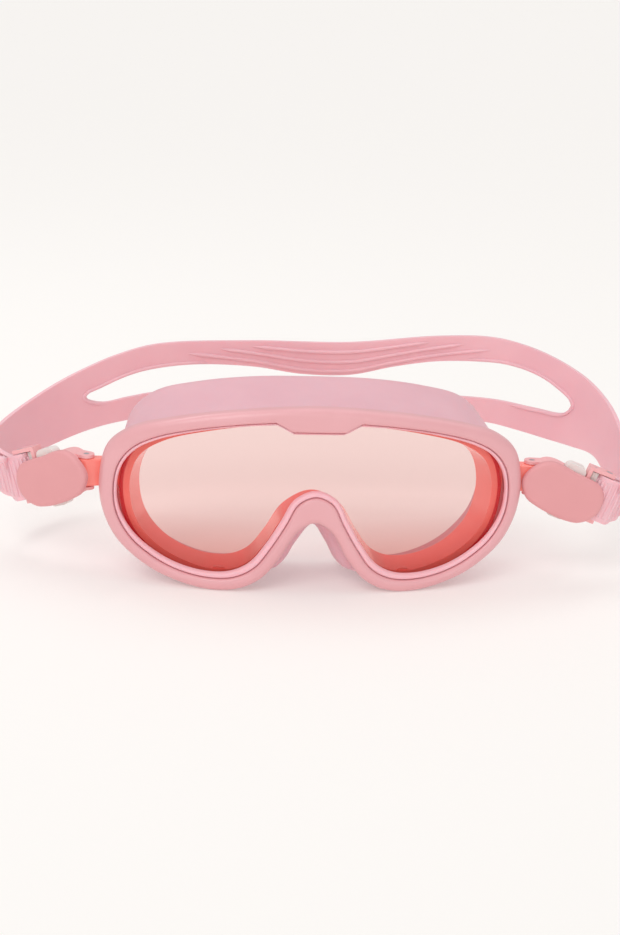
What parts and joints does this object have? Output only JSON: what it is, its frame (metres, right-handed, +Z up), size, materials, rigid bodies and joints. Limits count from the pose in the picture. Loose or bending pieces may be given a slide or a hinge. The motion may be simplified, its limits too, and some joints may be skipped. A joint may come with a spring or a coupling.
{
  "type": "swim goggles",
  "caption": "Wide-view swim goggles with a one-piece tinted lens, soft face skirt, hinged quick-release buckles and a split silicone head strap.",
  "frame": {"origin": "on the surface that the goggles stand on, under the middle of the bounding box", "axes": "+X towards the viewer's right, +Y from the lens to the back of the head, +Z up"},
  "size_m": [0.2484, 0.1044, 0.0753],
  "materials": {
    "bezel_plastic": "smooth satin-gloss moulded plastic, dusty pink",
    "gasket_silicone": "soft translucent silicone, pink",
    "tinted_lens": "clear gloss polycarbonate with a peach tint",
    "coral_plastic": "glossy translucent coral polycarbonate",
    "skirt_silicone": "matte silicone, pink",
    "strap_silicone": "matte silicone, pink, lightly polished ribs",
    "buckle_plastic": "satin moulded plastic, pink",
    "cover_plastic": "fine satin moulded plastic, dusty pink",
    "button_plastic": "off-white moulded plastic",
    "steel": "turned stainless steel",
    "spring_steel": "drawn spring steel"
  },
  "bodies": {
    "mask": {"bezel": "bezel_plastic", "lens_gasket": "gasket_silicone", "lens": "tinted_lens", "lens_frame": "coral_plastic", "skirt": "skirt_silicone", "hinge_pin_left": "steel", "hinge_pin_right": "steel"},
    "strap": {"strap": "strap_silicone"},
    "buckle_left": {"buckle_body_left": "buckle_plastic", "buckle_cover_left": "cover_plastic", "strap_bar_left": "steel", "pawl_pin_left": "steel", "pawl_spring_left": "spring_steel", "button_spring_left": "spring_steel"},
    "upper_release_left": {"upper_button_left": "button_plastic"},
    "lower_release_left": {"lower_button_left": "button_plastic"},
    "pawl_left": {"strap_pawl_left": "button_plastic"},
    "buckle_right": {"buckle_body_right": "buckle_plastic", "buckle_cover_right": "cover_plastic", "strap_bar_right": "steel", "pawl_pin_right": "steel", "pawl_spring_right": "spring_steel", "button_spring_right": "spring_steel"},
    "upper_release_right": {"upper_button_right": "button_plastic"},
    "lower_release_right": {"lower_button_right": "button_plastic"},
    "pawl_right": {"strap_pawl_right": "button_plastic"}
  },
  "joints": [
    {"name": "strap_draw_back", "type": "slide", "parent": "mask", "child": "strap", "axis": [0, 1, 0], "range_m": [0, 0.006], "deforming": ["strap"]},
    {"name": "buckle_swing_left", "type": "hinge", "parent": "mask", "child": "buckle_left", "pos_m": [-0.08445, -0.0302, 0.0395], "axis": [0, 0, -1], "range_deg": [0, 17.9]},
    {"name": "release_left", "type": "slide", "parent": "buckle_left", "child": "upper_release_left", "axis": [0.2868, -0.1863, -0.9397], "range_m": [0, 0.0018], "stiffness_N_per_m": 150, "deforming": ["button_spring_left"]},
    {"name": "lower_press_left", "type": "slide", "parent": "buckle_left", "child": "lower_release_left", "axis": [-0.2868, 0.1863, 0.9397], "range_m": [0, 0.0018], "stiffness_N_per_m": 150},
    {"name": "pawl_rock_left", "type": "hinge", "parent": "buckle_left", "child": "pawl_left", "pos_m": [-0.1023, -0.0198, 0.035], "axis": [0.2868, -0.1863, -0.9397], "range_deg": [0, 12.5], "deforming": ["pawl_spring_left"]},
    {"name": "buckle_swing_right", "type": "hinge", "parent": "mask", "child": "buckle_right", "pos_m": [0.08075, -0.0302, 0.0395], "axis": [0, 0, 1], "range_deg": [0, 13.8]},
    {"name": "release_right", "type": "slide", "parent": "buckle_right", "child": "upper_release_right", "axis": [-0.3401, 0.0358, -0.9397], "range_m": [0, 0.0018], "stiffness_N_per_m": 150, "deforming": ["button_spring_right"]},
    {"name": "lower_press_right", "type": "slide", "parent": "buckle_right", "child": "lower_release_right", "axis": [0.3401, -0.0358, 0.9397], "range_m": [0, 0.0018], "stiffness_N_per_m": 150},
    {"name": "pawl_rock_right", "type": "hinge", "parent": "buckle_right", "child": "pawl_right", "pos_m": [0.10116, -0.03335, 0.035], "axis": [0.3401, -0.0358, 0.9397], "range_deg": [0, 12.5], "deforming": ["pawl_spring_right"]}
  ],
  "couplings": [
    {"joint": "buckle_swing_left", "follows": "strap_draw_back", "rad_per_m": 50.72},
    {"joint": "lower_press_left", "follows": "release_left", "ratio": 1},
    {"joint": "pawl_rock_left", "follows": "release_left", "rad_per_m": 116.36},
    {"joint": "buckle_swing_right", "follows": "strap_draw_back", "rad_per_m": 38.7},
    {"joint": "lower_press_right", "follows": "release_right", "ratio": 1},
    {"joint": "pawl_rock_right", "follows": "release_right", "rad_per_m": 116.36}
  ]
}
